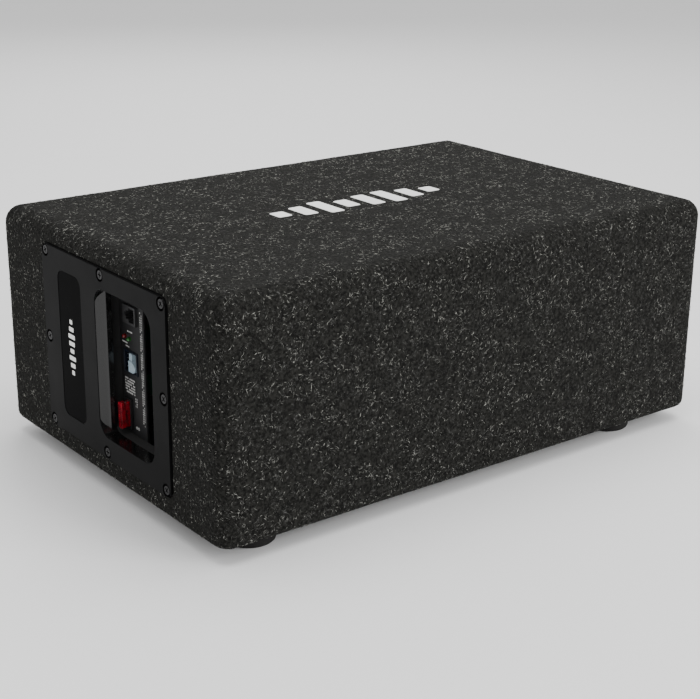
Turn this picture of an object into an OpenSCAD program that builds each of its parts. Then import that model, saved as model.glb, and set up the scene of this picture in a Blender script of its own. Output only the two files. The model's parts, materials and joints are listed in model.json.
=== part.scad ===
// Compact powered subwoofer: a carpeted cuboid cabinet on four feet, with a plug-in amplifier
// behind a moulded panel in its left end, and an 8 inch driver and a port facing the floor.
// The origin is on the floor under the middle of the object, +X to the right, +Z up.

/* [Cabinet] */
// Length over the carpet
body_l = 440; // [420:1:460]
// Depth over the carpet
body_d = 298; // [290:1:320]
// Height over the carpet, without the feet
body_h = 168; // [166:1:185]
// Carpet thickness
carpet_t = 3; // [2:0.5:4]
// Board thickness
board_t = 15; // [12:1:16]
// Thickness of the bottom board, which carries the driver
baffle_t = 18; // [15:1:20]
// Radius of the top edges over the carpet
top_r = 13; // [8:1:16]
// Radius of the upright edges over the carpet
side_r = 12; // [8:1:16]
// Radius of the bottom edges over the carpet
bottom_r = 6.5; // [3.5:0.5:8]

/* [Feet] */
// Height of a foot
foot_h = 10.5; // [9:0.5:14]
// Radius of a foot
foot_r = 18; // [14:1:20]
// Foot centre to the left end
foot_left = 40; // [32:1:60]
// Foot centre to the right end
foot_right = 63; // [32:1:80]
// Foot centre to a long side
foot_side = 30; // [26:1:45]

/* [Panel] */
// Width of the amplifier panel
panel_w = 170; // [168:1:176]
// Height of the amplifier panel
panel_h = 138; // [137:1:142]
// Sideways place of the panel's middle
panel_y = -5.5; // [-8:0.5:0]
// Height of the panel's middle above the cabinet's underside
panel_z = 86; // [84:0.5:88]
// How far the panel stands proud of the carpet
panel_proud = 1.5; // [0.5:0.1:1.6]
// Panel screw spacing, sideways
screw_dy = 79; // [78:0.5:80]
// Panel screw spacing, upwards
screw_dz = 64; // [63:0.5:65]
// Width of the recess
recess_w = 74.6; // [72:0.2:75]
// Height of the recess
recess_h = 107.5; // [104:0.5:108]
// Depth of the control plate below the carpet's face
plate_depth = 17.5; // [16:0.5:20]

/* [Driver] */
// Radius of the driver's flange
flange_r = 105; // [102:1:106]
// Number of driver screws
driver_screws = 8; // [4:1:12]
// Driver centre along the cabinet
driver_x = 5; // [2:1:8]
// Port centre along the cabinet
port_x = 160; // [156:1:162]
// Inner radius of the port
port_r = 27; // [24:1:28]
// Length of the port
port_l = 89; // [60:1:100]

/* [Fuse] */
// Width of the blade fuse
fuse_w = 19.1; // [18.8:0.1:19.4]
// Thickness of the blade fuse
fuse_t = 5.1; // [4.8:0.1:5.3]

/* [Hidden] */
$fn = 64;
BIG = 400;

x_face = -(body_l - panel_proud) / 2;   // outer face of the left end's carpet
x_end = x_face + body_l;                // outer face of the right end's carpet
z_deck = foot_h + baffle_t + carpet_t;  // inner face of the bottom board
z_roof = foot_h + body_h - carpet_t - board_t;

// the panel's pieces, in depth from the carpet's face, Y, and height above the underside
recess_y = panel_y - 28.1;
recess_z = panel_z + 0.5;
recess_rad = 12.5;
wall_t = 2.5;
wall_end = 9.5;
panel_back = 2;
gasket_back = carpet_t;
cut_w = 146;
cut_h = 119;
label_y = panel_y + 45.3;
label_w = 33;
label_h = 108;
label_rad = 7;

housing_w = 88;
housing_h = 117.4;
housing_y = recess_y + 0.1;
housing_z = recess_z - 0.3;
housing_end = 96;
sheet_t = 1.5;

pcb_y = 0.2;
pcb_t = 1.6;
pcb_from = 21;
pcb_to = 88;
pcb_low = 34;
pcb_high = 139;

jack_at = [-12.4, 120.4];
jack_size = [16.8, 13.2];
led_at = [[-3.5, 103.1], [-9.4, 102.2]];
header_at = [-10.5, 85.7];
header_size = [17.8, 16.4];
fuse_at = [-5.5, 46.9];
fuse_front = 9.7;
fuse_back = 21.9;
blade_w = 5.1;
blade_t = 0.65;
blade_pitch = 13.9;
blade_tip = 29.4;
holder_size = [9.4, 22.4];
holder_front = 15.8;
holder_floor = 24;

standoff_at = [for (d = [38, 83]) for (z = [38.5, 134.5]) [d, z]];
capacitor_at = [for (d = [50, 70]) for (z = [50, 70]) [d, z]];
capacitor_r = 8;
choke_at = [62, 108];
choke_r = 12;
choke_core = 4;

// the driver, measured from its mounting plane, upwards
rebate = 6;
z_mount = foot_h + carpet_t + rebate;
hole_r = 91;
screw_pcr = 100;
seal_in = 85.5;
seal_out = 95;
roll_r = 77.5;
roll_out = 7;
roll_in = 6.1;
cone_r = 71;
neck_r = 19.6;
neck_z = 32;
spider_z = 40;
back_z = 53.5;
plate_z = 6;
magnet_z = 18;
magnet_r = 55;
pole_r = 18.5;
former_in = 19;
former_out = 19.5;
coil_out = 20.4;
gap_r = 21;

bar_heights = [14, 24, 34, 20, 30, 34, 24, 14];

// the speaker leads, in panel space: out of the housing and down to the terminal strip
lead_r = 1.4;
lead_from = [housing_end - 3, -22, 60];
lead_to = [driver_x - 69.4 - x_face, -6, 51.5];
lead_steps = 16;

// ---- helpers ----

// Rounded rectangle about the origin, exact arcs in the corners.
module rounded_rect(w, h, r) {
    square([w - 2 * r, h], center = true);
    square([w, h - 2 * r], center = true);
    for (x = [-1, 1]) for (y = [-1, 1])
        translate([x * (w / 2 - r), y * (h / 2 - r)]) circle(r);
}

// Side outline of the cabinet, standing on the X axis.
module end_outline(w, h, rt, rb) {
    translate([-w / 2, rb]) square([w, h - rt - rb]);
    translate([-w / 2 + rt, rt]) square([w - 2 * rt, h - rt]);
    translate([-w / 2 + rb, 0]) square([w - 2 * rb, h / 2]);
    for (x = [-1, 1]) {
        translate([x * (w / 2 - rt), h - rt]) circle(rt);
        translate([x * (w / 2 - rb), rb]) circle(rb);
    }
}

// The cabinet's rounded block, drawn in by inset on every side.
module rounded_block(inset) {
    l = body_l - 2 * inset;
    d = body_d - 2 * inset;
    h = body_h - 2 * inset;
    translate([x_face + body_l / 2, 0, foot_h + inset]) intersection() {
        linear_extrude(h) rounded_rect(l, d, side_r - inset);
        translate([0, d / 2, 0]) rotate([90, 0, 0])
            linear_extrude(d) end_outline(l, h, top_r - inset, bottom_r - inset);
        translate([-l / 2, 0, 0]) rotate([90, 0, 90])
            linear_extrude(l) end_outline(d, h, top_r - inset, bottom_r - inset);
    }
}

// A board: the part of the rounded core between two corners.
module board(low, high) {
    intersection() {
        rounded_block(carpet_t);
        translate(low) cube(high - low);
    }
}

// Panel space: X is depth below the carpet's face, Z is height above the underside.
module at_face() translate([x_face, 0, foot_h]) children();

// A slab in panel space between two depths, from an outline drawn in Y and Z.
module slab(from, to) at_face() translate([from, 0, 0]) rotate([90, 0, 90])
    linear_extrude(to - from) children();

// A rod along X in panel space.
module rod(from, to, y, z, r) at_face() translate([from, y, z]) rotate([0, 90, 0])
    cylinder(h = to - from, r = r);

// A rod along Y in panel space.
module cross_rod(y_from, y_to, d, z, r) at_face() translate([d, y_to, z]) rotate([90, 0, 0])
    cylinder(h = y_to - y_from, r = r);

// A block in panel space from depth, Y and Z limits.
module block(d, y, z) at_face() translate([d[0], y[0], z[0]])
    cube([d[1] - d[0], y[1] - y[0], z[1] - z[0]]);

// The eight panel screw places in Y and Z.
function panel_screw_at() = [for (i = [-1, 0, 1]) for (j = [-1, 0, 1])
    if (i != 0 || j != 0) [panel_y + i * screw_dy, panel_z + j * screw_dz]];

// Pilot holes for the panel screws.
module panel_pilots() for (p = panel_screw_at()) rod(0, carpet_t + board_t, p[0], p[1], 2.1);

// Places the children at each foot.
module at_feet() for (x = [x_face + foot_left, x_end - foot_right]) for (y = [-1, 1])
    translate([x, y * (body_d / 2 - foot_side), 0]) children();

// Driver space: the mounting plane at Z 0, the cabinet's inside above it.
module at_driver() translate([driver_x, 0, z_mount]) children();

// Places the children at each driver screw.
module at_driver_screws() at_driver() for (i = [0 : driver_screws - 1])
    rotate([0, 0, (i + 0.5) * 360 / driver_screws]) translate([screw_pcr, 0, 0]) children();

// A ring about the Z axis.
module ring(r_in, r_out, z_from, z_to) translate([0, 0, z_from]) difference() {
    cylinder(h = z_to - z_from, r = r_out);
    translate([0, 0, -1]) cylinder(h = z_to - z_from + 2, r = r_in);
}

// A cross-head screw pointing up, with its head's underside at Z 0.
module screw(head_r, head_h, shank_r, shank_l) {
    difference() {
        translate([0, 0, -head_h]) cylinder(h = head_h, r1 = head_r * 0.8, r2 = head_r);
        for (a = [0, 90]) rotate([0, 0, a])
            translate([-head_r * 0.55, -0.45, -head_h - 1]) cube([head_r * 1.1, 0.9, 1 + head_h * 0.55]);
    }
    cylinder(h = shank_l, r = shank_r);
}

// Rounded bars side by side, like a sound-level display, centred on the origin.
module level_bars(scale_k) for (i = [0 : len(bar_heights) - 1])
    translate([(i - (len(bar_heights) - 1) / 2) * 20 * scale_k, 0])
        rounded_rect(12 * scale_k, bar_heights[i] * scale_k, 2 * scale_k);

// A line of tiny print along Z: dashes of mixed width, with gaps between the words.
module print_line(y, z, count, pitch, gap_at) for (i = [0 : count - 1])
    if ((i * 5 + gap_at) % 8 != 0) translate([y, z + (i - (count - 1) / 2) * pitch])
        square([0.5 + 0.15 * (i * 3 % 4), pitch * 0.66], center = true);

// Middle of a speaker lead a share t of the way along, for the lead that ends spread off the first.
function ease(t) = (1 - cos(180 * t)) / 2;
function lead_point(t, gap, spread) = [lead_from[0] + (lead_to[0] - lead_from[0]) * t,
    lead_from[1] + gap + (lead_to[1] - lead_from[1] + spread) * ease(t),
    lead_from[2] + (lead_to[2] - lead_from[2]) * ease(t)];
function unit(v) = v / norm(v);

// An eight-sided lead swept along its smooth route.
module lead(gap, spread) {
    sides = 8;
    rings = [for (i = [0 : lead_steps]) let (
        p = lead_point(i / lead_steps, gap, spread),
        run = unit(lead_point((i + 0.01) / lead_steps, gap, spread) - p),
        across = unit(cross(run, [0, 0, 1])),
        up = cross(across, run))
        for (k = [0 : sides - 1]) let (a = 360 * (k + 0.5) / sides)
            p + lead_r * (cos(a) * across + sin(a) * up)];
    walls = [for (i = [0 : lead_steps - 1]) for (k = [0 : sides - 1]) let (n = (k + 1) % sides)
        [i * sides + k, i * sides + n, (i + 1) * sides + n, (i + 1) * sides + k]];
    at_face() polyhedron(rings, concat([[for (k = [0 : sides - 1]) sides - 1 - k]], walls,
        [[for (k = [0 : sides - 1]) lead_steps * sides + k]]));
}

// ---- cabinet ----

module carpet() color([0.13, 0.13, 0.13]) difference() {
    rounded_block(0);
    rounded_block(carpet_t);
    slab(-5, 5) translate([panel_y, panel_z]) rounded_rect(panel_w + 1, panel_h + 1, 7.5);
    translate([driver_x, 0, 0]) cylinder(h = 20, r = flange_r + 1);
    translate([port_x, 0, 0]) cylinder(h = 20, r = port_r + 10);
    at_feet() cylinder(h = 20, r = 2.6);
}

module top_board() color("tan") difference() {
    board([x_face, -BIG, z_roof], [x_end, BIG, z_roof + BIG]);
    panel_pilots();
}

module bottom_board() color("tan") difference() {
    board([x_face, -BIG, 0], [x_end, BIG, z_deck]);
    at_driver() translate([0, 0, -20]) cylinder(h = 20, r = flange_r + 0.5);
    at_driver() cylinder(h = 20, r = hole_r);
    at_driver_screws() translate([0, 0, -1]) cylinder(h = 11.2, r = 1.8);
    translate([port_x, 0, 0]) cylinder(h = 60, r = port_r + 6.2);
    at_feet() cylinder(h = foot_h + 15, r = 2.1);
    panel_pilots();
}

module front_board() color("burlywood")
    board([x_face, -BIG, z_deck], [x_end, -body_d / 2 + carpet_t + board_t, z_roof]);

module rear_board() color("burlywood")
    board([x_face, body_d / 2 - carpet_t - board_t, z_deck], [x_end, BIG, z_roof]);

module left_board() color("wheat") difference() {
    board([x_face, -body_d / 2 + carpet_t + board_t, z_deck],
        [x_face + carpet_t + board_t, body_d / 2 - carpet_t - board_t, z_roof]);
    slab(-1, 30) translate([panel_y, panel_z]) square([cut_w, cut_h], center = true);
    panel_pilots();
}

module right_board() color("wheat")
    board([x_end - carpet_t - board_t, -body_d / 2 + carpet_t + board_t, z_deck],
        [x_end, body_d / 2 - carpet_t - board_t, z_roof]);

module feet() color([0.08, 0.08, 0.08]) at_feet() rotate_extrude() difference() {
    square([foot_r, foot_h]);
    difference() {
        translate([foot_r - 3, 0]) square([4, 3]);
        translate([foot_r - 3, 3]) circle(3);
    }
    square([5.5, 4.5]);
    square([2.6, 20]);
}

module foot_screws() color("silver") at_feet() translate([0, 0, 4.5])
    screw(4.6, 2.4, 2, 19);

module wadding() color("whitesmoke")
    translate([40, -125, z_roof - 20]) cube([x_end - 22 - 40, 250, 20]);

module top_emblem() color("white") translate([x_face + body_l / 2, 0, foot_h + body_h])
    linear_extrude(0.3) level_bars(1);

module port_tube() color([0.1, 0.1, 0.1]) translate([port_x, 0, foot_h + 0.5]) rotate_extrude() {
    translate([port_r, 6]) square([3, port_l - 6]);
    translate([port_r + 2, 6]) square([4, 19]);
    translate([port_r + 6, 0]) square([3.5, 2.5]);
    intersection() {
        translate([port_r + 6, 6]) circle(6);
        translate([port_r, 0]) square([6, 6]);
    }
}

// ---- amplifier panel ----

// The sloped cheek on the recess's rear wall, which leads a hand in.
module recess_cheek() intersection() {
    slab(-0.9, wall_end) translate([recess_y, recess_z])
        rounded_rect(recess_w + 1, recess_h + 1, recess_rad + 0.5);
    at_face() translate([0, recess_y + recess_w / 2, recess_z - recess_h / 2]) linear_extrude(recess_h)
        polygon([[-0.9, 1], [-0.9, 0], [4.2, -2.6], [5.4, -3.9], [wall_end, -3.9], [wall_end, 1]]);
}

module panel() color([0.17, 0.17, 0.17]) {
    moulding();
    recess_cheek();
}

// The flat flange with its walled recess, label pocket and screw holes.
module moulding() difference() {
    union() {
        slab(-panel_proud + 0.6, panel_back) translate([panel_y, panel_z])
            rounded_rect(panel_w, panel_h, 7);
        slab(-panel_proud, panel_back) translate([panel_y, panel_z])
            rounded_rect(panel_w - 1, panel_h - 1, 6.5);
        slab(0, wall_end) translate([recess_y, recess_z])
            rounded_rect(recess_w + 2 * wall_t, recess_h + 2 * wall_t, recess_rad + wall_t);
    }
    slab(-5, 30) translate([recess_y, recess_z]) rounded_rect(recess_w, recess_h, recess_rad);
    slab(-5, -panel_proud + 1) translate([label_y, panel_z])
        rounded_rect(label_w, label_h, label_rad);
    for (p = panel_screw_at()) {
        rod(-5, 0.5, p[0], p[1], 4.7);
        rod(-5, 10, p[0], p[1], 2.3);
    }
}

module panel_gasket() color([0.05, 0.05, 0.05]) difference() {
    slab(panel_back, gasket_back) translate([panel_y, panel_z])
        rounded_rect(panel_w - 2, panel_h - 2, 6);
    slab(-1, 30) translate([panel_y, panel_z]) square([cut_w, cut_h], center = true);
    for (p = panel_screw_at()) rod(-1, 30, p[0], p[1], 2.4);
}

module panel_screws() color([0.12, 0.12, 0.12]) for (p = panel_screw_at())
    at_face() translate([0.5, p[0], p[1]]) rotate([0, 90, 0]) rotate([0, 0, 20 + p[0] * 3])
        screw(3.9, 1.8, 2, 16);

module label_plate() color([0.03, 0.03, 0.03]) slab(-panel_proud + 0.2, -panel_proud + 1)
    translate([label_y, panel_z]) rounded_rect(label_w - 0.6, label_h - 0.6, label_rad - 0.3);

module label_emblem() color("white") slab(-panel_proud + 0.1, -panel_proud + 0.2)
    translate([label_y, panel_z]) rotate(90) level_bars(0.27);

module recess_seal() color([0.04, 0.04, 0.04]) slab(wall_end, plate_depth)
    translate([recess_y, recess_z]) difference() {
        rounded_rect(recess_w + 2 * wall_t, recess_h + 2 * wall_t, recess_rad + wall_t);
        rounded_rect(recess_w, recess_h, recess_rad);
    }

module control_plate() color([0.15, 0.15, 0.15]) difference() {
    block([plate_depth, plate_depth + sheet_t], [recess_y + 5, 8], [recess_z - 56, recess_z + 56]);
    block([0, 30], [-36.6, -28.6], [recess_z - 49, recess_z + 49]);
    slab(0, 30) {
        translate(jack_at) square(jack_size + [0.4, 0.4], center = true);
        translate(header_at) square(header_size + [0.4, 0.4], center = true);
        translate(fuse_at) square(holder_size + [0.4, 0.4], center = true);
    }
    for (p = led_at) rod(0, 30, p[0], p[1], 1.6);
}

module control_legends() color("white") slab(plate_depth - 0.15, plate_depth) {
    for (i = [0 : 4]) translate([-6.8 - 2 * i, 129]) square([1.2, 0.8], center = true);
    for (i = [0 : 3]) translate([-7 - 1.8 * i, 107.4]) square([1.1, 1], center = true);
    for (i = [0 : 3]) translate([0.2 - 1.8 * i, 98.6]) square([1.1, 1], center = true);
    for (i = [0 : 2]) translate([-4 - 1.8 * i, 96.2]) square([1.1, 0.8], center = true);
    for (i = [0 : 8]) for (j = [0 : 5]) if ((i + 2 * j) % 7 != 3)
        translate([-1.4 - 1.5 * i, 72.4 - 2 * j]) square([1, 1.1], center = true);
    for (i = [0, 1]) print_line(-14.4 - 1.7 * i, 57.2, 4, 1.8, 3 + i);
    for (i = [0, 1]) translate([-14.6 - 2.6 * i, 38.5]) difference() {
        circle(1.1);
        circle(0.6);
    }
    for (i = [0, 1]) print_line(-24.4 - 1.7 * i, 84, 50, 1.66, 3 * i);
}

// ---- amplifier ----

module amp_housing() color("silver") difference() {
    block([panel_back, housing_end], [housing_y - housing_w / 2, housing_y + housing_w / 2],
        [housing_z - housing_h / 2, housing_z + housing_h / 2]);
    block([0, housing_end - sheet_t],
        [housing_y - housing_w / 2 + sheet_t, housing_y + housing_w / 2 - sheet_t],
        [housing_z - housing_h / 2 + sheet_t, housing_z + housing_h / 2 - sheet_t]);
    rod(housing_end - 5, housing_end + 5, lead_from[1] + 1.75, lead_from[2], 5);
    for (p = standoff_at) cross_rod(0, 30, p[0], p[1], 1.6);
}

module heat_sink() color("dimgray") {
    block([plate_depth + sheet_t + 0.5, 86], [-41, -37], [36, 137]);
    for (i = [0 : 7]) block([plate_depth + sheet_t + 0.5, 86], [-73, -40.5],
        [36 + 14.17 * i, 37.8 + 14.17 * i]);
}

module circuit_board() color("darkgreen") difference() {
    block([pcb_from, pcb_to], [pcb_y, pcb_y + pcb_t], [pcb_low, pcb_high]);
    for (p = standoff_at) cross_rod(-5, 10, p[0], p[1], 1.7);
}

module board_standoffs() color("goldenrod") for (p = standoff_at) difference() {
    cross_rod(pcb_y + pcb_t, housing_y + housing_w / 2 - sheet_t, p[0], p[1], 2.6);
    cross_rod(0, 20, p[0], p[1], 1.6);
}

module board_screws() color("silver") for (p = standoff_at)
    at_face() translate([p[0], pcb_y, p[1]]) rotate([-90, 0, 0]) screw(2.7, 1.8, 1.5, 7);

module remote_jack() color([0.12, 0.12, 0.12]) difference() {
    union() {
        block([15.5, 33], [jack_at[0] - 8.4, jack_at[0] + 8.4], [jack_at[1] - 6.6, jack_at[1] + 6.6]);
        for (d = [24, 30]) for (z = [-4, 4]) cross_rod(jack_at[0] + 8, pcb_y, d, jack_at[1] + z, 0.8);
    }
    block([10, 29], [jack_at[0] - 6.8, jack_at[0] + 0.2], [jack_at[1] - 4.9, jack_at[1] + 4.9]);
    block([10, 29], [jack_at[0] + 0.1, jack_at[0] + 3.8], [jack_at[1] - 3, jack_at[1] + 3]);
    block([10, 29], [jack_at[0] + 3.7, jack_at[0] + 5.6], [jack_at[1] - 1.6, jack_at[1] + 1.6]);
}

module jack_contacts() color("gold") for (i = [0 : 5])
    block([17.5, 29], [jack_at[0] - 6.7, jack_at[0] - 6.3],
        [jack_at[1] - 3.4 + 1.27 * i, jack_at[1] - 2.95 + 1.27 * i]);

// One round LED with its rim behind the plate.
module led(p) {
    rod(16.6, 21.5, p[0], p[1], 1.5);
    at_face() translate([16.6, p[0], p[1]]) sphere(1.5);
    rod(19.2, 21.5, p[0], p[1], 1.9);
}

module fault_led() color("red") led(led_at[0]);

module power_led() color("lime") led(led_at[1]);

module led_legs() color("silver") for (p = led_at) for (s = [-1, 1]) {
    block([21.5, 24 + s], [p[0] - 0.25, p[0] + 0.25], [p[1] + s * 0.9 - 0.25, p[1] + s * 0.9 + 0.25]);
    block([23.5 + s, 24 + s], [p[0] - 0.25, pcb_y], [p[1] + s * 0.9 - 0.25, p[1] + s * 0.9 + 0.25]);
}

module header_shell() color([0.08, 0.1, 0.2]) difference() {
    block([16.5, 31], [header_at[0] - header_size[0] / 2, header_at[0] + header_size[0] / 2],
        [header_at[1] - header_size[1] / 2, header_at[1] + header_size[1] / 2]);
    block([10, 26], [header_at[0] - 7.7, header_at[0] + 7.7], [header_at[1] - 7, header_at[1] + 7]);
}

module header_block() color("aliceblue") {
    slab(15.5, 26) translate(header_at) polygon([[1.2, 1.4], [-3.6, 1.4], [-7.4, -1.4],
        [-7.4, -4.8], [-4.8, -6.6], [1.2, -6.6]]);
    slab(16.3, 26) translate(header_at) translate([-2.8, 1]) square([4, 5.6]);
}

module header_pins() color("silver") for (i = [0 : 3])
    block([18, 26], [header_at[0] + 6.1, header_at[0] + 6.7],
        [header_at[1] - 4.8 + 3 * i, header_at[1] - 4.2 + 3 * i]);

module fuse_holder() color([0.07, 0.07, 0.07]) difference() {
    slab(holder_front, 33) translate(fuse_at) square(holder_size, center = true);
    block([0, holder_floor], [fuse_at[0] - fuse_t / 2 - 0.4, fuse_at[0] + fuse_t / 2 + 0.4],
        [fuse_at[1] - fuse_w / 2 - 0.4, fuse_at[1] + fuse_w / 2 + 0.4]);
    for (s = [-1, 1]) block([0, 31], [fuse_at[0] - blade_t / 2 - 0.4, fuse_at[0] + blade_t / 2 + 0.4],
        [fuse_at[1] + s * blade_pitch / 2 - blade_w / 2 - 0.4,
            fuse_at[1] + s * blade_pitch / 2 + blade_w / 2 + 0.4]);
}

// Outline of the fuse's two blades, grown by a margin.
module blade_outline(margin) for (s = [-1, 1])
    translate([fuse_at[0], fuse_at[1] + s * blade_pitch / 2])
        square([blade_t + 2 * margin, blade_w + 2 * margin], center = true);

module fuse_body() color([0.8, 0.05, 0.1]) difference() {
    union() {
        slab(fuse_front, fuse_front + 3) translate(fuse_at) rounded_rect(fuse_t, fuse_w, 1);
        slab(fuse_front + 3, fuse_back) translate(fuse_at) rounded_rect(fuse_t - 0.8, fuse_w - 0.6, 1);
    }
    slab(fuse_front + 3, 40) blade_outline(0.05);
}

module fuse_blades() color("silver") slab(fuse_front + 3.2, blade_tip) blade_outline(0);

module capacitors() color([0.1, 0.12, 0.25]) for (p = capacitor_at)
    cross_rod(-25, pcb_y, p[0], p[1], capacitor_r);

module choke() color("olive") at_face() translate([choke_at[0], -7, choke_at[1]]) rotate([90, 0, 0])
    rotate_extrude() translate([choke_r, 0]) circle(choke_core);

module choke_winding() color("chocolate") at_face() translate([choke_at[0], -7, choke_at[1]])
    rotate([90, 0, 0]) for (i = [0 : 13]) rotate([0, 0, i * 360 / 14]) translate([choke_r, 0, 0])
        rotate([90, 0, 0]) rotate_extrude() translate([choke_core + 1, 0]) circle(0.8);

module transistors() color([0.1, 0.1, 0.1]) for (i = [0 : 3])
    block([44, 60], [-36.9, -32.5], [47 + 24 * i, 57 + 24 * i]);

module clamp_bar() color("silver") block([48, 55], [-32.4, -30.4], [42, 134]);

module lead_grommet() color([0.05, 0.05, 0.05]) difference() {
    rod(housing_end - 3.5, housing_end + 2, lead_from[1] + 1.75, lead_from[2], 4.9);
    rod(housing_end - 9, housing_end + 9, lead_from[1] + 1.75, lead_from[2], 4.3);
}

module speaker_leads() color([0.5, 0.05, 0.05]) {
    lead(0, 0);
    lead(3.5, 8.5);
}

// ---- driver ----

module basket() color([0.1, 0.1, 0.1]) difference() {
    at_driver() rotate_extrude() polygon([[86, -1.5], [flange_r, -1.5], [flange_r, 0], [89.5, 0],
        [56, 39.2], [53.5, back_z], [24, back_z], [24, back_z - 1.5], [51.9, back_z - 1.5],
        [53.8, spider_z + 1.5], [44, spider_z + 1.5], [44, spider_z], [54, spider_z], [87, 0.3]]);
    at_driver() for (i = [0 : 5]) rotate([0, 0, i * 60]) translate([0, 0, 5])
        linear_extrude(29) polygon([[50, -15], [100, -38], [100, 38], [50, 15]]);
    at_driver_screws() translate([0, 0, -5]) cylinder(h = 10, r = 2.4);
}

module driver_gasket() color([0.06, 0.06, 0.06]) at_driver() ring(seal_in, seal_out, -4.5, -2.5);

module driver_screws() color([0.15, 0.15, 0.15]) at_driver_screws() translate([0, 0, -1.5])
    screw(3.8, 2.2, 1.7, 11);

module surround() color([0.05, 0.05, 0.05]) at_driver() rotate_extrude()
    polygon(concat(
        [[roll_r + roll_in, -1.5], [seal_out, -1.5], [seal_out, -2.5]],
        [for (a = [0 : 10 : 180]) [roll_r + roll_out * cos(a), -2.5 - roll_out * sin(a)]],
        [[cone_r - 4, -2.5], [cone_r - 4, -1.5], [roll_r - roll_in, -1.5]],
        [for (a = [180 : -10 : 0]) [roll_r + roll_in * cos(a), -2.5 - roll_in * sin(a)]]));

module spider() color("goldenrod") at_driver() rotate_extrude() {
    translate([former_out, spider_z - 0.7]) square([28, 0.6]);
    for (i = [0 : 2]) translate([26 + 6 * i, spider_z - 0.5]) difference() {
        circle(2);
        circle(1.4);
        translate([-5, 0]) square([10, 5]);
    }
}

module cone() color([0.12, 0.12, 0.12]) at_driver() rotate_extrude()
    polygon([[cone_r, -1.5], [cone_r - 4.5, -1.5], [neck_r, neck_z], [neck_r, neck_z + 1.7],
        [cone_r - 4, -0.3], [cone_r, -0.3]]);

module dust_cap() color([0.08, 0.08, 0.08]) at_driver() translate([0, 0, 26.5]) rotate_extrude()
    intersection() {
        translate([0, 36]) difference() {
            circle(45);
            circle(44.2);
        }
        translate([0, -9]) square([40, 9]);
    }

module coil_former() color("silver") at_driver() ring(former_in, former_out, 31, 65);

module voice_coil() color("chocolate") at_driver() ring(former_out, coil_out, 50, 64);

module terminal_strip() color("tan") at_driver() difference() {
    union() {
        translate([-62, -10, 41.5]) cube([7.2, 20, 2]);
        for (y = [-6, 6]) translate([-69, y - 1.6, 42.1]) cube([8, 3.2, 0.8]);
    }
    cylinder(h = 60, r = 56);
}

module top_plate() color("gray") at_driver() ring(gap_r, magnet_r - 3, back_z, back_z + plate_z);

module magnet() color([0.2, 0.2, 0.2]) at_driver()
    ring(28, magnet_r, back_z + plate_z, back_z + plate_z + magnet_z);

module yoke() color("gray") at_driver() difference() {
    union() {
        translate([0, 0, back_z + plate_z + magnet_z]) cylinder(h = plate_z, r = magnet_r - 3);
        translate([0, 0, back_z - 1]) cylinder(h = plate_z + magnet_z + 2, r = pole_r);
    }
    cylinder(h = 120, r = 6);
}

carpet();
top_board();
bottom_board();
front_board();
rear_board();
left_board();
right_board();
feet();
foot_screws();
wadding();
top_emblem();
port_tube();
panel();
panel_gasket();
panel_screws();
label_plate();
label_emblem();
recess_seal();
control_plate();
control_legends();
amp_housing();
heat_sink();
circuit_board();
board_standoffs();
board_screws();
remote_jack();
jack_contacts();
fault_led();
power_led();
led_legs();
header_shell();
header_block();
header_pins();
fuse_holder();
fuse_body();
fuse_blades();
capacitors();
choke();
choke_winding();
transistors();
clamp_bar();
speaker_leads();
lead_grommet();
basket();
driver_gasket();
driver_screws();
surround();
spider();
cone();
dust_cap();
coil_former();
voice_coil();
terminal_strip();
top_plate();
magnet();
yoke();
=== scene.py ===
"""A compact powered subwoofer: carpeted cabinet, amplifier panel and floor-facing driver.

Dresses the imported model: every visible piece gets its soft edges, its felt or moulding and a
procedural finish, and stands on a pale studio floor.
"""
import json
import logging
import math
from dataclasses import dataclass, field
from enum import Enum
from typing import Callable, Iterable, Optional, Sequence, Union

import bmesh
import bpy
import numpy as np
from mathutils import Matrix, Vector

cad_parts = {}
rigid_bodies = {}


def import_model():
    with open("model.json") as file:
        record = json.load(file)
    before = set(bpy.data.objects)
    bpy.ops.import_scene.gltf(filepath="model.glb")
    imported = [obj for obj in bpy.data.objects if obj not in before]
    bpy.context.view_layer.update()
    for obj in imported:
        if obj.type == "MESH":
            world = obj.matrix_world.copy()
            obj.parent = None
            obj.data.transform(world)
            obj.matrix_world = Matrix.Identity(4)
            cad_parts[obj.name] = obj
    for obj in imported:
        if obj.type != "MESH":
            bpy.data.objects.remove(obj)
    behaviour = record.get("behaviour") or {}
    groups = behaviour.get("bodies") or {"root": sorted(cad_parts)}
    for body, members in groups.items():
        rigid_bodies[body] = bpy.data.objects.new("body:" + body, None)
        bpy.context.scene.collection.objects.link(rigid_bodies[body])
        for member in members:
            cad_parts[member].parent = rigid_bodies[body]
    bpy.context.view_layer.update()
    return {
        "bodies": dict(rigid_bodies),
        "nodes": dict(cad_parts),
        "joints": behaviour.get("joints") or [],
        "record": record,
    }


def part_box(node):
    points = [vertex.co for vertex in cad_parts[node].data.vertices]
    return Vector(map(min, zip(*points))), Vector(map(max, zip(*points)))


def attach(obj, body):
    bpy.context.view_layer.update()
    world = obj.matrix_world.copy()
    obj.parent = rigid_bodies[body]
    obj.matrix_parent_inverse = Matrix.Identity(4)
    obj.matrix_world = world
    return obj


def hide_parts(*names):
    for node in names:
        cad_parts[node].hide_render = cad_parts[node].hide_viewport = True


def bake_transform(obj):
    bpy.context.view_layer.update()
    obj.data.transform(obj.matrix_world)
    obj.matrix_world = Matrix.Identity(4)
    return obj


log = logging.getLogger("subwoofer")

MM = 0.001
Colour = tuple[float, float, float]
Number = Union[float, "Wire"]
Test = Callable[[Vector, Vector], bool]


class Body(Enum):
    """The rigid bodies that a piece can ride on."""

    CABINET = "cabinet"
    CONE = "cone_assembly"
    FUSE = "fuse"


class Axis(Enum):
    """The three axes of the frame, by their place in a vector."""

    X = 0
    Y = 1
    Z = 2


# ---- shader building ----


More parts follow.
